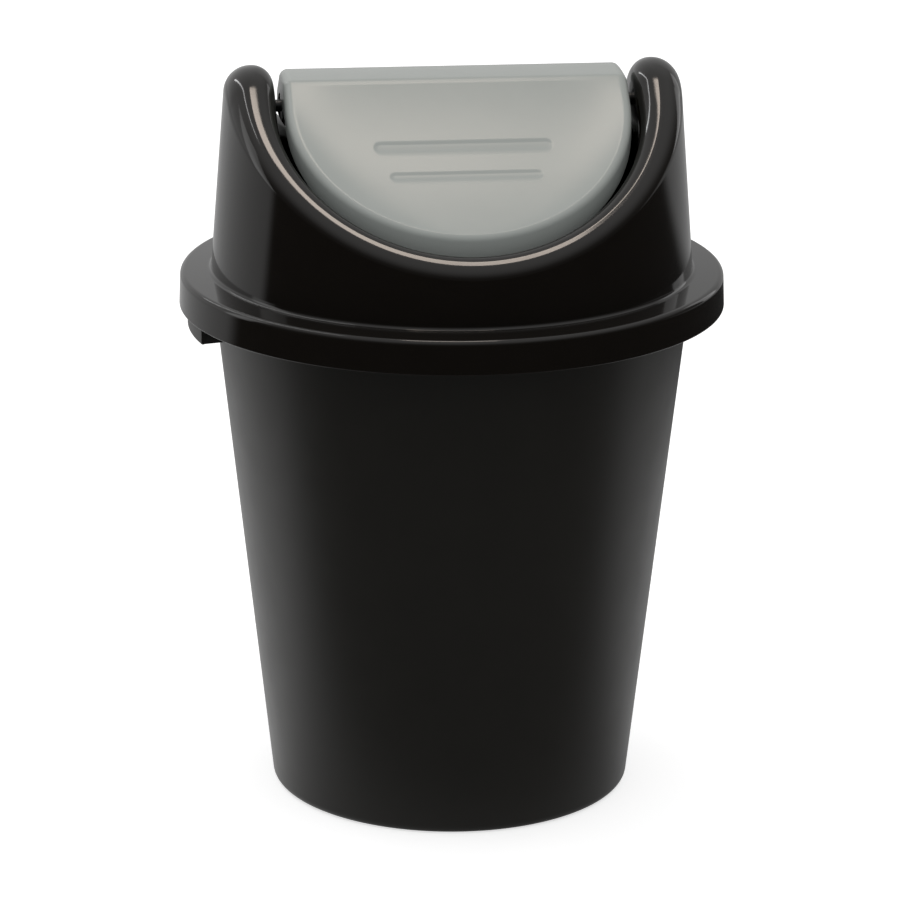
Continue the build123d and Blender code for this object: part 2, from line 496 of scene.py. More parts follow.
@dataclass
class Bucket(Assembly):
    """Tapered round bucket with a foot ring, a turned-out rim and two finger grips."""

    foot_radius: float = 90.3
    draft: float = 6.4
    height: float = 265.6
    wall: float = 2.2
    foot_rounding: float = 4.5
    foot_width: float = 9.0
    foot_recess: float = 3.0
    floor_thickness: float = 2.6
    floor_corner: float = 4.0
    rim_width: float = 12.0
    rim_depth: float = 9.0
    rim_wall: float = 2.0
    rim_rounding: float = 1.4
    edge_rounding: float = 0.6
    grip_depth: float = 24.8
    grip_angle: float = 22.0
    grip_middles: tuple[float, float] = (184.2, 4.2)
    grip_end_wall: float = 2.2
    grip_wall_corner: float = 0.5
    grip_wall_clearance: float = 0.1
    grip_wall_layers: Pairs = ((0.0, 0.5), (0.1, 0.2), (0.4, 0.0))
    grip_ramp: float = 0.6
    columns: int = 320
    fine_columns: int = 17

    def wall_radius(self, level: float) -> float:
        """Outer radius of the wall: the foot's radius and the draft's tangent times the height."""
        return self.foot_radius + level * float(np.tan(np.radians(self.draft)))

    @property
    def rim_radius(self) -> float:
        """Outer radius of the rim."""
        return self.wall_radius(self.height) + self.rim_width

    def section(self, lip_bottom: float) -> Array:
        """Half section from the middle of the underside, out and up, over the rim and back in.

        Args:
            lip_bottom: Level where the turned-down lip ends.

        Returns:
            Points (r, z) along the section.
        """
        rim_under = self.height - self.rim_wall
        lip_inner = self.rim_radius - self.rim_wall
        floor = self.foot_recess + self.floor_thickness
        corners = [
            (0, self.foot_recess),
            (self.foot_radius - self.foot_width, self.foot_recess),
            (self.foot_radius - self.foot_width, 0),
            (self.foot_radius, 0),
            (self.wall_radius(rim_under), rim_under),
            (lip_inner, rim_under),
            (lip_inner, lip_bottom),
            (self.rim_radius, lip_bottom),
            (self.rim_radius, self.height),
            (self.wall_radius(self.height) - self.wall, self.height),
            (self.wall_radius(floor) - self.wall, floor),
            (0, floor),
        ]
        edge = self.edge_rounding
        foot, rim = [edge] * 2 + [self.foot_rounding], [edge] * 4 + [self.rim_rounding]
        return rounded_path(corners, [*foot, *rim, edge, self.floor_corner])

    def azimuths(self) -> Array:
        """Even steps round the bucket, with close columns where a grip's lip starts and ends."""
        even = np.linspace(0, 2 * np.pi, self.columns, endpoint=False)
        middles = np.radians(self.grip_middles)
        ends = (middles[:, None] + np.radians(self.grip_angle / 2) * np.array([-1, 1])).ravel()
        fine = np.linspace(-1.0, 1.0, self.fine_columns) / self.rim_radius
        return np.unique(np.concatenate([even, (ends[:, None] + fine).ravel() % (2 * np.pi)]))

    def shell(self) -> Array:
        """Section spun about Z, its lip lowered between the ends of each grip.

        The lip's depth follows a steep ramp at both ends of a grip.
        """
        azimuth = self.azimuths()
        middles = np.radians(self.grip_middles)
        away = np.abs((azimuth[:, None] - middles + np.pi) % (2 * np.pi) - np.pi).min(1)
        inside = (np.radians(self.grip_angle / 2) - away) * self.rim_radius
        share = smooth_step(inside / self.grip_ramp + 0.5)[None, :, None]
        plain = self.section(self.height - self.rim_depth)[:, None]
        deep = self.section(self.height - self.grip_depth)[:, None]
        return spin(plain * (1 - share) + deep * share, azimuth)

    def end_wall(self, azimuth: float) -> Array:
        """Wall that closes a grip at one end, between the bucket's wall and the lip.

        Args:
            azimuth: Angle of the middle of the wall's thickness, in radians.

        Returns:
            Grid of a plate in the upright plane through the axis.
        """
        bottom = self.height - self.grip_depth + self.grip_wall_clearance
        top = self.height - self.rim_wall / 2
        lip = self.rim_radius - self.rim_wall / 2
        low_root = self.wall_radius(bottom) - self.wall / 2
        start = (low_root, (bottom + top) / 2)
        high_root = self.wall_radius(top) - self.wall / 2
        corners = [start, (low_root, bottom), (lip, bottom), (lip, top), (high_root, top), start]
        outline = rounded_path(corners, [self.grip_wall_corner] * 4, steps=5)[:-1]
        half = self.grip_end_wall / 2
        flat = plate(outline, (-half, half), self.grip_wall_layers)
        radial = np.array([np.cos(azimuth), np.sin(azimuth), 0.0])
        around = np.array([-np.sin(azimuth), np.cos(azimuth), 0.0])
        up = np.array([0.0, 0.0, 1.0])
        return flat[..., :1] * radial + flat[..., 1:2] * up + flat[..., 2:] * around

    def end_walls(self) -> Array:
        """Azimuths of the four end walls' middles, in radians."""
        half_wall = self.grip_end_wall / 2 / self.rim_radius
        reach = np.radians(self.grip_angle / 2) - half_wall
        return (np.radians(self.grip_middles)[:, None] + reach * np.array([-1, 1])).ravel()

    def build(self) -> Piece:
        """The bucket as one piece: its shell and the end walls of both grips."""
        walls = [
            Patch(self.end_wall(azimuth), wrap=True, inward=True) for azimuth in self.end_walls()
        ]
        return make_piece("bucket_shell", [Patch(self.shell(), wrap=True), *walls])

    def dress(self, piece: Piece) -> None:
        """Satin black, on the bucket's body, in place of its CAD node."""
        finish = SATIN_BLACK_POLYPROPYLENE.material()
        self.place(piece, Body.BUCKET, "bucket_plastic", finish, nodes=("bucket",))


@dataclass
class MouthOutline:
    """Outline shared by the mouth and the lid: straight by the pivots, half ellipses beyond."""

    half_width: float
    nose: float
    straight: float = 25.0

    def radius(self, azimuth: Array, grow: float = 0.0) -> Array:
        """Distance from the middle to the outline, along an azimuth.

        A ray meets the straight side where y = x tan a is within the straight length. Beyond
        it, r solves (r cos a / w)^2 + ((r |sin a| - s) / n)^2 = 1.

        Args:
            azimuth: Angles in radians.
            grow: Outset of the outline.

        Returns:
            Radii in millimetres.
        """
        w, n, s = self.half_width + grow, self.nose + grow, self.straight
        cosine, sine = np.abs(np.cos(azimuth)), np.abs(np.sin(azimuth))
        a = (cosine / w) ** 2 + (sine / n) ** 2
        b = s * sine / n**2
        c = (s / n) ** 2 - 1
        curved = (b + np.sqrt(b * b - a * c)) / a
        straight = w / np.maximum(cosine, TINY)
        return np.where(straight * sine <= s, straight, curved)


@dataclass
class Hood(Assembly):
    """Skirt, ledge and tower, and the thick rolled rim of the gable-shaped mouth."""

    rim_radius: float
    seat_level: float = 265.9
    wall: float = 2.2
    skirt_clearance: float = 1.2
    skirt_height: float = 16.9
    skirt_flare: float = 2.0
    skirt_rounding: float = 2.6
    ledge_width: float = 12.0
    ledge_fall: float = 1.0
    tower_height: float = 103.2
    tower_draft: float = 4.4
    foot_fillet: float = 2.0
    mouth_slope: float = 35.0
    mouth_round: float = 32.0
    ear_width: float = 23.4
    front_lip: float = 18.4
    outer_share: float = 0.57
    rim_flat: float = 0.6
    flange_drop: float = 33.0
    edge_rounding: float = 0.5
    support: float = 0.5
    tower_start: float = 4.0
    core_start: float = 1.0
    first_drop: float = 8.0
    rounds: int = 4
    columns: int = 480
    arc_steps: int = 16

    @property
    def skirt_top(self) -> float:
        """Level of the ledge's outer edge."""
        return self.seat_level + self.wall

    @property
    def ledge_level(self) -> float:
        """Level of the ledge where the tower starts."""
        return self.skirt_top + self.ledge_fall

    @property
    def top(self) -> float:
        """Highest level of the hood."""
        return self.ledge_level + self.tower_height

    @property
    def foot_radius(self) -> float:
        """Outer radius of the tower where it starts."""
        return self.rim_radius - self.ledge_width

    @property
    def mouth(self) -> MouthOutline:
        """Outline of the mouth."""
        top_radius = float(self.tower_radius(self.top))
        return MouthOutline(
            half_width=top_radius - self.ear_width,
            nose=self.foot_radius - self.front_lip - MouthOutline.straight,
        )

    def tower_radius(self, level: Array | float) -> Array | float:
        """Outer radius of the tower: its foot less the draft's tangent times the height."""
        return self.foot_radius - (level - self.ledge_level) * np.tan(np.radians(self.tower_draft))

    def gable(self, y: Array, inset: float) -> tuple[Array, Array]:
        """Level and slope of the mouth's gable, set in squarely.

        The gable is a circle about the mouth's centre near the ridge and the circle's tangent
        at the mouth's slope beyond.

        Args:
            y: Distances in front of or behind the pivot.
            inset: Distance by which the gable is set in.

        Returns:
            Level, and slope downwards away from the ridge.
        """
        radius = self.mouth_round - inset
        centre = self.top - self.mouth_round
        slope = np.radians(self.mouth_slope)
        away = np.abs(y)
        bend = radius * np.sin(slope)
        near = np.minimum(away, bend)
        height = np.sqrt(radius**2 - near**2)
        level = centre + height - (away - near) * np.tan(slope)
        return level, near / height

    def rim(self, azimuth: Array, inset: float) -> Array:
        """Rows over the rim, from the tower's wall across the top to the mouth's wall.

        In the upright plane at azimuth a the gable falls outwards by g sin a and across the
        plane by g cos a = tan b. Heights times cos b make a square roll a circle there. The
        circles touch the wall, the gable's line and the mouth's wall in turn, and share the
        rim's width, so that its top is round all the way across. The wall's radius depends on
        the level it is found at, so it starts from a guess and is worked out again each round.

        Args:
            azimuth: Angles in radians.
            inset: Distance by which the form is set in.

        Returns:
            Points (r, z) of each row, (2 * arc_steps + 2, columns, 2).
        """
        inner = self.mouth.radius(azimuth, inset)
        outer = self.tower_radius(self.top - self.first_drop) - inset + np.zeros_like(azimuth)
        draft = np.radians(self.tower_draft)
        for _ in range(self.rounds):
            width = outer - inner + 2 * inset - self.rim_flat
            outer_roll = self.outer_share * width - inset
            inner_roll = (1 - self.outer_share) * width - inset
            middle = (outer - outer_roll + inner + inner_roll) / 2
            level, slope = self.gable(middle * np.sin(azimuth), inset)
            squash = np.cos(np.arctan(slope * np.abs(np.cos(azimuth))))
            fall = slope * np.abs(np.sin(azimuth)) * squash
            tilt = np.arctan(fall)
            outer_middle = outer - outer_roll / np.cos(draft)
            outer_height = level * squash - fall * (outer_middle - middle)
            outer_height = outer_height - outer_roll / np.cos(tilt)
            outer = self.tower_radius(outer_height / squash) - inset
        outer_middle = outer - outer_roll / np.cos(draft)
        inner_middle = inner + inner_roll
        inner_height = level * squash - fall * (inner_middle - middle)
        inner_height = inner_height - inner_roll / np.cos(tilt)
        steps = np.linspace(0, 1, self.arc_steps)[:, None]
        rise = draft + (np.pi / 2 - tilt - draft) * steps
        turn = np.pi / 2 - tilt + (np.pi / 2 + tilt) * steps
        outer_arc, inner_arc = (
            np.stack(
                [middle + roll * np.cos(angle), (height + roll * np.sin(angle)) / squash], axis=-1
            )
            for middle, height, roll, angle in (
                (outer_middle, outer_height, outer_roll, rise),
                (inner_middle, inner_height, inner_roll, turn),
            )
        )
        start, end = outer_arc[-1:], inner_arc[:1]
        flat = start + (end - start) * np.array([0.1, 0.9])[:, None, None]
        return np.concatenate([outer_arc, flat, inner_arc])

    def rows(self, azimuth: Array) -> Array:
        """Closed section of the hood at every azimuth, from the skirt's bottom and back to it."""
        skirt_inner = self.rim_radius + self.skirt_clearance
        flare = self.skirt_height * np.tan(np.radians(self.skirt_flare))
        bottom = self.skirt_top - self.skirt_height
        ledge_slope = self.ledge_fall / (skirt_inner + 2 * self.wall - self.foot_radius)
        ledge_foot = self.skirt_top + ledge_slope * (skirt_inner + self.wall - self.foot_radius)
        above = self.ledge_level + self.tower_start
        outer_corners = [
            (skirt_inner + flare + self.wall / 2, bottom),
            (skirt_inner + flare + self.wall, bottom),
            (skirt_inner + self.wall, self.skirt_top),
            (self.tower_radius(ledge_foot), ledge_foot),
            (self.tower_radius(above), above),
        ]
        edge = self.edge_rounding
        outside = rounded_path(outer_corners, [edge, self.skirt_rounding, self.foot_fillet])
        start = self.ledge_level + self.core_start
        inner_corners = [
            (self.tower_radius(start) - self.wall, start),
            (self.tower_radius(self.seat_level) - self.wall, self.seat_level),
            (skirt_inner, self.seat_level),
            (skirt_inner + flare, bottom),
            outer_corners[0],
        ]
        inside = rounded_path(inner_corners, [edge] * 3, steps=5)
        over = self.rim(azimuth, 0.0)
        under = self.rim(azimuth, self.wall)[::-1]
        lip_inner, lip_outer = over[-1, :, 0], under[0, :, 0]
        sine = np.sin(azimuth)
        low_inner = self.gable(lip_inner * sine, 0.0)[0] - self.flange_drop
        low_outer = self.gable(lip_outer * sine, 0.0)[0] - self.flange_drop
        turn = np.linspace(0, np.pi / 2, 5)[:, None]
        out, up = edge * (1 - np.cos(turn)), edge * (1 - np.sin(turn))
        roll_in = np.stack([lip_inner + out, low_inner + up], axis=-1)
        roll_out = np.stack([lip_outer - up, low_outer + out], axis=-1)
        drop = np.array([0.0, -self.support])
        wall_top = over[:1] + drop
        wall_top[..., 0] = self.tower_radius(wall_top[..., 1])
        core_top = under[-1:] + drop
        core_top[..., 0] = self.tower_radius(core_top[..., 1]) - self.wall
        flange = [over[-1:] + drop, roll_in[:1] - drop, roll_in, roll_out, roll_out[-1:] - drop]
        top = [wall_top, over, *flange, under[:1] + drop, under, core_top]
        below, closing = (
            np.broadcast_to(path[:, None], (len(path), azimuth.size, 2))
            for path in (outside, inside)
        )
        return np.concatenate([below, *top, closing])

    def build(self) -> Piece:
        """The hood as one wall of even thickness."""
        azimuth = np.linspace(0, 2 * np.pi, self.columns, endpoint=False)
        return make_piece("hood_shell", [Patch(spin(self.rows(azimuth), azimuth), wrap=True)])

    def dress(self, piece: Piece) -> None:
        """Gloss black, on the hood's body, in place of its CAD node."""
        finish = GLOSS_BLACK_POLYPROPYLENE.material()
        self.place(piece, Body.HOOD, "hood_plastic", finish, nodes=("hood",))


@dataclass(frozen=True)
class Groove:
    """Shallow grip groove across a panel of the lid, round at both ends."""

    place: float
    length: float
    width: float
    depth: float = 0.35
    wall: float = 2.8
    run_out: float = 0.3

    def share(self, x: Array, along: Array) -> Array:
        """How far a point of the panel is into the groove, from 0 outside to 1 on its floor.

        The share rises in an S from nothing at the run-out, just outside the slot's outline, to
        1 one wall's width further in.

        Args:
            x: Place across the panel.
            along: Distance down the slope from the ridge's edge.

        Returns:
            Share of the full depth.
        """
        beyond = np.maximum(np.abs(x) - (self.length - self.width) / 2, 0.0)
        distance = np.hypot(beyond, along - self.place) - self.width / 2
        return smooth_step((self.run_out - distance) / self.wall)


@dataclass
class SwingLid(Assembly):
    """Shell with a nearly flat ridge, a panel in front and behind, a skirt and two bosses."""

    hood_top: float
    outline: MouthOutline
    below_hood_top: float = 4.4
    slope: float = 35.0
    ridge_half_depth: float = 13.5
    ridge_round: float = 4.5
    edge_round: float = 4.2
    hollow: float = 2.4
    strip: float = 1.6
    crown: float = 4.0
    wall: float = 2.0
    skirt: float = 12.0
    pivot_below_hood_top: float = 20.0
    boss_radius: float = 7.5
    boss_length: float = 4.6
    boss_gap: float = 0.06
    boss_layers: Pairs = ((0.0, 0.5), (0.15, 0.15), (0.5, 0.0))
    edge_rounding: float = 0.5
    support: float = 0.4
    grooves: tuple[Groove, Groove] = (Groove(42.7, 88.0, 7.6), Groove(61.6, 75.0, 6.0))
    bend_rows: int = 9
    bend_supports: tuple[float, float] = (1.2, 0.4)
    panel_support: float = 0.5
    straight_rows: tuple[float, ...] = (18.0, 20.0, 22.0)
    groove_reach: float = 4.0
    groove_rows: int = 25
    groove_end_columns: tuple[float, float, int] = (-0.05, 0.02, 21)
    side_columns: tuple[float, float] = (0.97, 0.99)
    tip_steps: int = 64
    least_step: float = 2e-4
    columns: int = 110
    ceiling_columns: int = 13
    outer_edge_rows: int = 10
    inner_edge_rows: int = 6

    @property
    def ridge_level(self) -> float:
        """Level of the ridge at its bends."""
        return self.hood_top - self.below_hood_top

    @property
    def pivot_level(self) -> float:
        """Level of the pivot's axis."""
        return self.hood_top - self.pivot_below_hood_top

    def roof(self, y: Array) -> tuple[Array, Array]:
        """Level and slope of the roof, nearly flat at the ridge and straight beyond a bend.

        The ridge is an arc that falls by start * tan(crown / 2) from its middle to the bend. The
        bend is an arc of its own, from the crown's slope to the panel's.

        Args:
            y: Distances in front of or behind the pivot.

        Returns:
            Level, and slope downwards away from the ridge.
        """
        start, end = self.bend_span()
        crown, slope = np.radians(self.crown), np.radians(self.slope)
        away = np.abs(y)
        near = np.minimum(away, start)
        ridge_radius = start / np.sin(crown)
        ridge_height = np.sqrt(ridge_radius**2 - near**2)
        bend = np.clip(away - start, 0.0, end - start) + self.ridge_round * np.sin(crown)
        bend_height = np.sqrt(self.ridge_round**2 - bend**2)
        beyond = np.maximum(away - end, 0.0)
        level = (
            self.ridge_level
            + (ridge_height - ridge_radius * np.cos(crown))
            - (self.ridge_round * np.cos(crown) - bend_height)
            - beyond * np.tan(slope)
        )
        return level, np.where(away < start, near / ridge_height, bend / bend_height)

    def bend_span(self) -> tuple[float, float]:
        """Where the bend between the ridge and a panel starts and ends, from the pivot."""
        crown, slope = np.radians(self.crown), np.radians(self.slope)
        start = self.ridge_half_depth - self.ridge_round * np.tan((slope - crown) / 2)
        return float(start), float(start + self.ridge_round * (np.sin(slope) - np.sin(crown)))

    def quarter(self) -> tuple[Array, Array, Array, Array]:
        """Points of the outline's front right quarter and their plan normals.

        The straight part runs up in y with close rows at the roof's bend. The half ellipse is
        x = w cos f, y = s + n sin f, with its normal along (cos f / w, sin f / n). It has close
        rows at the grooves.

        Returns:
            x, y, normal x and normal y, from the pivot's line to the tip.
        """
        line = self.outline
        start, end = self.bend_span()
        far, near = self.bend_supports
        flat = np.append(np.linspace(0.0, start - far, self.bend_rows), start - near)
        bend = np.linspace(start, end, self.bend_rows)
        strip = np.linspace(end, end + self.strip, 4)[1:]
        hold = end + self.strip + self.panel_support
        straight = np.concatenate([flat, bend, strip, [hold], self.straight_rows])
        plain = np.linspace(0, np.pi / 2, self.tip_steps)
        middles = np.array([self.groove_y(groove) for groove in self.grooves])
        spread = np.linspace(-self.groove_reach, self.groove_reach, self.groove_rows)
        close = (middles[:, None] + spread).ravel()
        angle = np.unique(np.concatenate([plain, np.arcsin((close - line.straight) / line.nose)]))
        angle = angle[np.concatenate([[True], np.diff(angle) > self.least_step])]
        angle[-1] = np.pi / 2
        x = line.half_width * np.concatenate([np.ones(straight.size), np.cos(angle)])
        y = np.concatenate([straight, line.straight + line.nose * np.sin(angle)])
        normal = np.stack([np.cos(angle) / line.half_width, np.sin(angle) / line.nose])
        normal = normal / np.linalg.norm(normal, axis=0)
        nx = np.concatenate([np.ones(straight.size), normal[0]])
        ny = np.concatenate([np.zeros(straight.size), normal[1]])
        x[-1], nx[-1], ny[-1] = 0.0, 0.0, 1.0
        return x, y, nx, ny

    def loop(self) -> tuple[Array, Array]:
        """The whole outline, anticlockwise from the middle of the right side.

        Returns:
            Points (n, 2) and their outward plan normals (n, 2).
        """
        x, y, nx, ny = self.quarter()
        quarter = np.stack([x, y, nx, ny], axis=1)
        second = quarter[-2::-1] * np.array([-1, 1, -1, 1])
        half = np.concatenate([quarter, second])
        whole = np.concatenate([half, -half[1:-1]])
        return whole[:, :2], whole[:, 2:]

    def edge(self, inset: float, steps: int) -> Array:
        """Rounded edge between the roof and the skirt, all round the outline.

        Across the edge the roof falls by g |ny| and along it by g |nx| = tan b. Heights times
        cos b make the round a circle, whose centre is a radius inside the outline.

        Args:
            inset: Distance by which the form is set in.
            steps: Rows over the round.

        Returns:
            Grid (steps, n, 3), from the roof outwards and down.
        """
        points, normals = self.loop()
        radius = self.edge_round - inset
        middle = points - normals * (inset + radius)
        level, slope = self.roof(middle[:, 1])
        level = level - inset * np.sqrt(1 + slope**2)
        squash = np.cos(np.arctan(slope * np.abs(normals[:, 0])))
        tilt = np.arctan(slope * np.abs(normals[:, 1]) * squash)
        centre = level * squash - radius / np.cos(tilt)
        angle = (np.pi / 2 - tilt) * np.linspace(1, 0, steps)[:, None]
        out = radius * np.cos(angle)[..., None]
        height = (centre + radius * np.sin(angle)) / squash
        plan = middle[None] + normals[None] * out
        return np.concatenate([plan, height[..., None]], axis=-1)

    def panel(self, rim: Array, columns: Array, inset: float) -> Array:
        """Roof between the left and right points of the edge, in rows of constant y.

        Each panel is hollow by 4 h t (1 - t) square to it, with t from 0 past a straight strip
        beside the bend to 1 at the tip. The hollow fades out towards the sides. Outside, the
        grooves go in as well.

        Args:
            rim: Innermost row of the edge, (n, 3).
            columns: Places across a row, from -1 to 1.
            inset: Distance by which the roof is set in.

        Returns:
            Grid (rows, columns, 3), from the back tip to the front tip.
        """
        count = rim.shape[0]
        quarter = count // 4
        right = rim[np.arange(quarter, -quarter - 1, -1) % count]
        x = right[:, :1] * columns
        y = np.broadcast_to(right[:, 1:2], x.shape)
        level, slope = self.roof(y)
        z = level - inset * np.sqrt(1 + slope**2)
        ends = np.abs(columns) == 1.0
        z = np.where(ends[None], right[:, 2:3], z)
        along = self.down_slope(y)
        begin = self.down_slope(self.bend_span()[1] + self.strip)
        share = np.clip((along - begin) / (along.max() - begin), 0.0, 1.0)
        depth = 4 * self.hollow * share * (1 - share) * (1 - columns**6)
        if inset == 0.0:
            depth = depth + sum(groove.depth * groove.share(x, along) for groove in self.grooves)
        tilt = np.arctan(slope)
        y = y - np.sign(y) * depth * np.sin(tilt)
        z = z - depth * np.cos(tilt)
        return np.stack([x, y, z], axis=-1)

    def down_slope(self, y: Array | float) -> Array | float:
        """Distance down a panel from the ridge's edge: plan distance over the slope's cosine."""
        return (np.abs(y) - self.ridge_half_depth) / np.cos(np.radians(self.slope))

    def mark_grooves(self, shell: Piece) -> None:
        """Marks the points of the shell in the grooves, from 0 outside to 1 on their floors."""
        points = np.empty(len(shell.data.vertices) * 3)
        shell.data.vertices.foreach_get("co", points)
        x, y, _ = points.reshape(-1, 3).T / MM
        share = sum(groove.share(x, self.down_slope(y)) for groove in self.grooves)
        marks = shell.data.attributes.new(CHANNEL, "FLOAT", "POINT")
        marks.data.foreach_set("value", share.astype(np.float32))

    def shell(self) -> list[Patch]:
        """Outer roof, edge, skirt, and the same form set in by the wall's thickness."""
        over = self.edge(0.0, self.outer_edge_rows)
        under = self.edge(self.wall, self.inner_edge_rows)
        up = np.array([0.0, 0.0, 1.0])
        points, normals = self.loop()
        low = self.roof(points[:, 1])[0] - self.skirt
        bottom = np.concatenate([points, low[:, None]], axis=1)
        out = np.concatenate([normals, np.zeros((len(normals), 1))], axis=1)
        turn = np.linspace(0, np.pi / 2, 4)[:, None, None]
        away = out * self.edge_rounding * (1 - np.cos(turn))
        rise = up * self.edge_rounding * (1 - np.sin(turn))
        roll_out = bottom - away + rise
        roll_in = bottom - out * self.wall + (away + rise)[::-1]
        support = up * self.support
        skirt = [over[-1:] - support, roll_out[:1] + support, roll_out]
        inner = [roll_in, roll_in[-1:] + support, under[-1:] - support]
        band = np.concatenate([over, *skirt, *inner, under[::-1]])
        even = np.linspace(-1, 1, self.columns + 1)
        ends = [groove.length / 2 / self.groove_half_width(groove) for groove in self.grooves]
        close = (np.array(ends)[:, None] + np.linspace(*self.groove_end_columns)).ravel()
        mirrored = np.concatenate([close, self.side_columns])
        across = np.unique(np.concatenate([even, mirrored, -mirrored]))
        top = self.panel(over[0], across, 0.0)
        ceiling = self.panel(under[0], np.linspace(-1, 1, self.ceiling_columns), self.wall)
        return [Patch(top, inward=True), Patch(band[::-1], wrap=True), Patch(ceiling)]

    def groove_y(self, groove: Groove) -> float:
        """Plan distance from the pivot to a groove's middle."""
        return self.ridge_half_depth + groove.place * float(np.cos(np.radians(self.slope)))

    def groove_half_width(self, groove: Groove) -> float:
        """Half width of the lid's panel at a groove."""
        lean = (self.groove_y(groove) - self.outline.straight) / self.outline.nose
        return self.outline.half_width * float(np.sqrt(1 - lean**2)) - self.edge_round

    def boss(self, side: Side) -> Array:
        """Tab under the roof that the pivot turns in: round below the axis, straight above it.

        Args:
            side: Left or right.

        Returns:
            Grid of a plate across X.
        """
        radius, top = self.boss_radius, self.ridge_level - self.edge_round
        angle = np.linspace(np.pi, 2 * np.pi, 33)
        level = self.pivot_level + radius * np.sin(angle)
        low = np.stack([radius * np.cos(angle), level], axis=1)
        width = np.array([1.0, 0.5, 0.0, -0.5, -1.0]) * radius
        high = np.stack([width, np.full(5, top)], axis=1)
        outline = np.concatenate([low, high, [[-radius, (top + self.pivot_level) / 2]]])
        half_width = self.outline.half_width
        span = (half_width - self.boss_length, half_width - self.boss_gap)
        flat = plate(outline, span, self.boss_layers)
        return np.stack([side.value * flat[..., 2], flat[..., 0], flat[..., 1]], axis=-1)

    def build(self) -> list[Piece]:
        """The shell, and the two bosses as pieces of their own."""
        shell = make_piece("lid_shell", self.shell())
        self.mark_grooves(shell)
        bosses = [
            make_piece(
                f"{side.name.lower()}_pivot_boss",
                [Patch(self.boss(side), wrap=True, inward=side is Side.LEFT)],
            )
            for side in Side
        ]
        return [shell, *bosses]

    def dress(self, pieces: Sequence[Piece]) -> None:
        """Satin grey, on the lid's body, the shell in place of the lid's CAD node."""
        finish = SATIN_GREY_POLYPROPYLENE.material()
        for piece in pieces:
            nodes = ("swing_lid",) if piece.name == "lid_shell" else ()
            self.place(piece, Body.LID, "lid_plastic", finish, nodes=nodes)


@dataclass
class PivotPins(Assembly):
    """Headed pins on the pivot's axis, fixed in the ears of the hood."""

    pivot_level: float
    start: float
    head: float
    radius: float = 3.0
    head_radius: float = 5.0
    head_thickness: float = 2.0
    chamfer: float = 0.5
    roundings: tuple[float, ...] = (0.15, 0.15, 0.15, 0.3, 0.4)
    margin: float = 0.2
    columns: int = 64

    def pin(self, side: Side) -> Array:
        """Section of the pin spun about the pivot's axis.

        Args:
            side: Left or right.

        Returns:
            Grid of the pin, lying along X.
        """
        end = self.head + self.head_thickness
        corners = [
            (0, self.start),
            (self.radius - self.chamfer, self.start),
            (self.radius, self.start + self.chamfer),
            (self.radius, self.head),
            (self.head_radius, self.head),
            (self.head_radius, end),
            (0, end),
        ]
        rows = rounded_path(corners, self.roundings, steps=4, margin=self.margin)
        grid = spin(rows, np.linspace(0, 2 * np.pi, self.columns, endpoint=False))
        return np.stack(
            [side.value * grid[..., 2], grid[..., 0], grid[..., 1] + self.pivot_level], axis=-1
        )

    def build(self) -> dict[Side, Piece]:
        """One pin in each ear."""
        return {
            side: make_piece(
                f"{side.name.lower()}_headed_pin",
                [Patch(self.pin(side), wrap=True, inward=side is Side.LEFT)],
            )
            for side in Side
        }

    def dress(self, pins: Mapping[Side, Piece]) -> None:
        """Dark plastic, on the hood's body, each in place of its CAD node."""
        finish = BLACK_ACETAL.material()
        for side, pin in pins.items():
            node = f"{side.name.lower()}_pivot_pin"
            self.place(pin, Body.HOOD, "pin_plastic", finish, nodes=(node,))


# ---- studio ----


@dataclass(frozen=True)
class Softbox:
    """Plain rectangular lamp, aimed at a height on the object's axis, all in metres."""

    name: str
    place: tuple[float, float, float]
    aim_height: float
    width: float
    height: float
    watts: float
    colour: str = "#ffffff"
    twist: float = 0.0

    def build(self) -> Piece:
        """Area lamp at its place, facing its aim and twisted about its own axis."""
        lamp = bpy.data.lights.new(self.name, "AREA")
        lamp.shape = "RECTANGLE"
        lamp.size = self.width
        lamp.size_y = self.height
        lamp.energy = self.watts
        lamp.color = linear_colour(self.colour)[:3]
        place = Vector(self.place)
        way = Vector((0.0, 0.0, self.aim_height)) - place
        return add_aimed(self.name, lamp, place, way, self.twist)


@dataclass(frozen=True)
class Surround:
    """How bright the studio looks in a glossy face, by direction, seen from the photo's side.

    Ahead is the part of a direction that points away from the photographer, from -1 to 1. The
    left and right of the studio turn from dark to light at their own edge.
    """

    left_edge: float
    left_tone: float
    right_edge: float
    right_tone: float
    front_tone: float
    softness: float


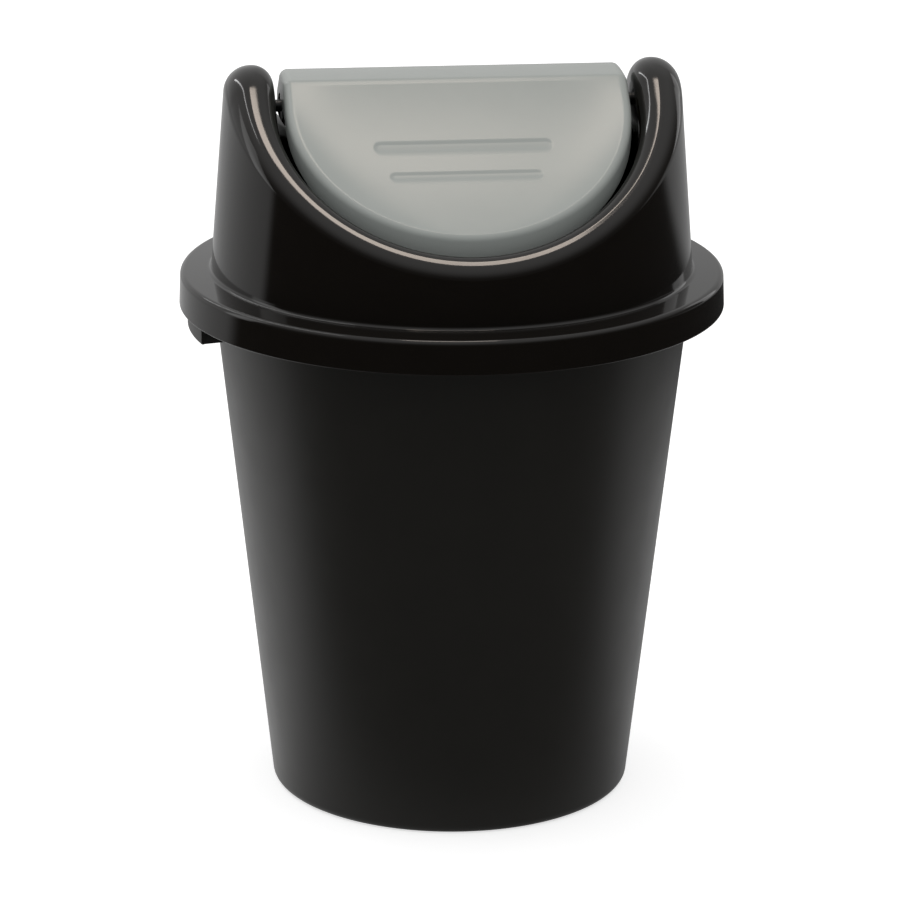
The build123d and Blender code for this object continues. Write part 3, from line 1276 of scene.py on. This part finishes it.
@dataclass
class Studio:
    """White floor and surroundings, four softboxes and the camera."""

    azimuth: float = -6.5
    elevation: float = 17.0
    distance: float = 2.37
    aim_height: float = 0.19
    focal_pixels: float = 4700.0
    frame_pixels: float = 900.0
    aim_right_pixels: float = 1.15
    aim_up_pixels: float = 34.0
    roll: float = 0.27
    sensor_width: float = 36.0
    clipping: tuple[float, float] = (0.05, 100.0)
    floor_size: float = 30.0
    floor_lines: int = 5
    floor_glow: float = 0.62
    soft_tone: float = 0.42
    soft_ceiling_tone: float = 0.92
    ceiling_tone: float = 0.75
    walls: Surround = Surround(0.10, 0.67, 0.74, 0.47, 0.08, 0.06)
    near_ground: Surround = Surround(-0.07, 0.85, -0.02, 0.60, 0.14, 0.10)
    far_ground: Surround = Surround(0.18, 0.50, 1.0, 0.38, 0.03, 0.10)
    near_reach: tuple[float, float] = (0.42, 0.88)
    ceiling_reach: tuple[float, float] = (0.10, 0.95)
    side_softness: float = 0.15
    paper_colour: str = "#dcdcdc"
    softboxes: tuple[Softbox, ...] = (
        Softbox("overhead_softbox", (0.0, 0.07, 1.7), 0.3, 0.5, 0.17, 2.6, "#fff0e2"),
        Softbox("high_left_softbox", (-0.97, 0.75, 1.61), 0.3, 0.07, 1.8, 2.6, twist=-37.9),
        Softbox("left_softbox", (-1.6, 0.35, 0.75), 0.2, 0.5, 1.1, 1.6),
        Softbox("right_softbox", (1.5, 1.1, 0.75), 0.2, 0.5, 1.1, 1.6),
    )

    def tone(self, tree: Tree, ahead: Socket, right: Socket, surround: Surround) -> Socket:
        """Brightness that rises ahead of an edge, on the left and the right at their own places.

        Args:
            tree: Node tree that gets the nodes.
            ahead: Place or direction away from the photographer.
            right: Place or direction to the photographer's right.
            surround: Edges and tones.

        Returns:
            Socket with the brightness.
        """
        edges = (
            (surround.left_edge, surround.left_tone),
            (surround.right_edge, surround.right_tone),
        )
        sides = []
        for edge, tone in edges:
            ramp = {
                "Value": ahead,
                "From Min": edge - surround.softness,
                "From Max": edge + surround.softness,
                "To Min": surround.front_tone,
                "To Max": tone,
            }
            sides.append(add_node(tree, *SMOOTH_RAMP, ramp).outputs["Result"])
        soft = self.side_softness
        ramp = {"Value": right, "From Min": -soft, "From Max": soft}
        across = add_node(tree, *SMOOTH_RAMP, ramp).outputs["Result"]
        return add_node(tree, *FLOAT_MIX, {0: across, 2: sides[0], 3: sides[1]}).outputs[0]

    def ray_kinds(self, tree: Tree) -> tuple[Socket, Socket]:
        """Sockets that are 1 for glossy rays, and for rays straight from the camera."""
        path = add_node(tree, "ShaderNodeLightPath").outputs
        straight = add_node(
            tree,
            "ShaderNodeMath",
            {"operation": "MAXIMUM"},
            {0: path["Is Camera Ray"], 1: path["Is Transmission Ray"]},
        )
        return path["Is Glossy Ray"], straight.outputs[0]

    def turned(self, tree: Tree, source: str) -> Mapping[str, Socket]:
        """X, Y and Z of a coordinate, turned so that Y points away from the photographer.

        Args:
            tree: Node tree that gets the nodes.
            source: Output of the coordinate node.

        Returns:
            Sockets by the names X, Y and Z.
        """
        way = add_node(tree, "ShaderNodeTexCoord").outputs[source]
        turn = (0.0, 0.0, -float(np.radians(self.azimuth)))
        mapped = add_node(tree, "ShaderNodeMapping", inputs={"Vector": way, "Rotation": turn})
        return add_node(tree, "ShaderNodeSeparateXYZ", inputs={0: mapped.outputs[0]}).outputs

    def surroundings(self) -> bpy.types.World:
        """White world for camera rays, a studio with dark and light walls for glossy ones.

        The walls go by the world's own directions, so they stay where they are when the camera
        goes round. All other rays get a soft light that is stronger from above.
        """
        world = bpy.data.worlds.new("studio_surroundings")
        tree = empty_tree(world)
        glossy, straight = self.ray_kinds(tree)
        way = self.turned(tree, "Generated")
        walls = self.tone(tree, way["Y"], way["X"], self.walls)
        low, high = self.ceiling_reach
        ramp = {"Value": way["Z"], "From Min": low, "From Max": high}
        height = add_node(tree, *SMOOTH_RAMP, ramp).outputs["Result"]
        studio = add_node(tree, *FLOAT_MIX, {0: height, 2: walls, 3: self.ceiling_tone})
        soft = add_node(tree, *FLOAT_MIX, {0: height, 2: self.soft_tone, 3: self.soft_ceiling_tone})
        seen = add_node(tree, *FLOAT_MIX, {0: glossy, 2: soft.outputs[0], 3: studio.outputs[0]})
        strength = add_node(tree, *FLOAT_MIX, {0: straight, 2: seen.outputs[0], 3: 1.0})
        glow = {"Color": WHITE, "Strength": strength.outputs[0]}
        background = add_node(tree, "ShaderNodeBackground", inputs=glow)
        add_node(tree, "ShaderNodeOutputWorld", inputs={"Surface": background.outputs[0]})
        bpy.context.scene.world = world
        return world

    def paper(self) -> bpy.types.Material:
        """White paper that keeps the object's shadow.

        A light-grey diffuse surface takes the shadow, and a steady glow for camera and
        transmission rays lifts its lit part to white. Glossy rays see the glow alone, dark in
        front of the object and light beside and behind it.
        """
        made = bpy.data.materials.new("white_studio_paper")
        tree = empty_tree(made)
        glossy, straight = self.ray_kinds(tree)
        level = add_node(
            tree, "ShaderNodeMath", {"operation": "MULTIPLY"}, {0: straight, 1: self.floor_glow}
        )
        colour = linear_colour(self.paper_colour)
        diffuse = add_node(tree, "ShaderNodeBsdfDiffuse", inputs={"Color": colour})
        place = self.turned(tree, "Object")
        near, far = (
            self.tone(tree, place["Y"], place["X"], ground)
            for ground in (self.near_ground, self.far_ground)
        )
        source = add_node(tree, "ShaderNodeTexCoord").outputs["Object"]
        reach = add_node(tree, "ShaderNodeVectorMath", {"operation": "LENGTH"}, {0: source})
        start, end = self.near_reach
        ramp = {"Value": reach.outputs["Value"], "From Min": start, "From Max": end}
        away = add_node(tree, *SMOOTH_RAMP, ramp).outputs["Result"]
        tone = add_node(tree, *FLOAT_MIX, {0: away, 2: near, 3: far})
        glow, mirrored = (
            add_node(tree, "ShaderNodeEmission", inputs={"Color": WHITE, "Strength": strength})
            for strength in (level.outputs[0], tone.outputs[0])
        )
        parts = {0: diffuse.outputs[0], 1: glow.outputs[0]}
        lit = add_node(tree, "ShaderNodeAddShader", inputs=parts)
        parts = {0: glossy, 1: lit.outputs[0], 2: mirrored.outputs[0]}
        both = add_node(tree, "ShaderNodeMixShader", inputs=parts)
        add_node(tree, "ShaderNodeOutputMaterial", inputs={"Surface": both.outputs[0]})
        return made

    def floor(self) -> Piece:
        """Wide flat floor of paper at z = 0."""
        half = self.floor_size / 2
        across = np.linspace(-half, half, self.floor_lines)
        x, y = np.meshgrid(across, across, indexing="xy")
        grid = np.stack([x, y, np.zeros_like(x)], axis=-1)
        mesh = bpy.data.meshes.new("studio_floor")
        mesh.from_pydata(grid.reshape(-1, 3).tolist(), [], grid_faces(*x.shape, False).tolist())
        mesh.materials.append(self.paper())
        piece = add_object("studio_floor", mesh)
        return piece

    def camera(self) -> Piece:
        """Camera at the photo's angle: its optical axis meets the object's axis off the middle."""
        data = bpy.data.cameras.new("photo_camera")
        data.sensor_width = self.sensor_width
        data.lens = data.sensor_width * self.focal_pixels / self.frame_pixels
        data.shift_x = -self.aim_right_pixels / self.frame_pixels
        data.shift_y = -self.aim_up_pixels / self.frame_pixels
        data.clip_start, data.clip_end = self.clipping
        turn, rise = np.radians(self.azimuth), np.radians(self.elevation)
        back = Vector((np.sin(turn) * np.cos(rise), -np.cos(turn) * np.cos(rise), np.sin(rise)))
        place = Vector((0.0, 0.0, self.aim_height)) + back * self.distance
        made = add_aimed("photo_camera", data, place, -back, self.roll)
        bpy.context.scene.camera = made
        return made

    def build(self) -> None:
        """Sets the whole studio up."""
        bpy.context.scene.view_settings.view_transform = "Standard"
        self.surroundings()
        self.floor()
        for softbox in self.softboxes:
            softbox.build()
        self.camera()


def main() -> None:
    """Builds and dresses each sub-assembly in order, then the studio."""
    logging.basicConfig(level=logging.INFO, format="%(name)s: %(message)s")
    Studio().build()
    LOG.info("studio ready")

    bucket = Bucket()
    bucket.dress(bucket.build())
    LOG.info("bucket dressed")

    hood = Hood(rim_radius=bucket.rim_radius)
    hood.dress(hood.build())
    LOG.info("hood dressed")

    mouth = hood.mouth
    outline = MouthOutline(half_width=mouth.half_width - LID_GAP, nose=mouth.nose - LID_GAP)
    lid = SwingLid(hood_top=hood.top, outline=outline)
    lid.dress(lid.build())
    LOG.info("lid dressed")

    pins = PivotPins(
        pivot_level=lid.pivot_level,
        start=outline.half_width - lid.boss_length - PIN_BEYOND_BOSS,
        head=mouth.half_width + hood.wall + HEAD_CLEARANCE,
    )
    pins.dress(pins.build())
    LOG.info("pins dressed")


if __name__ == "__main__":
    main()
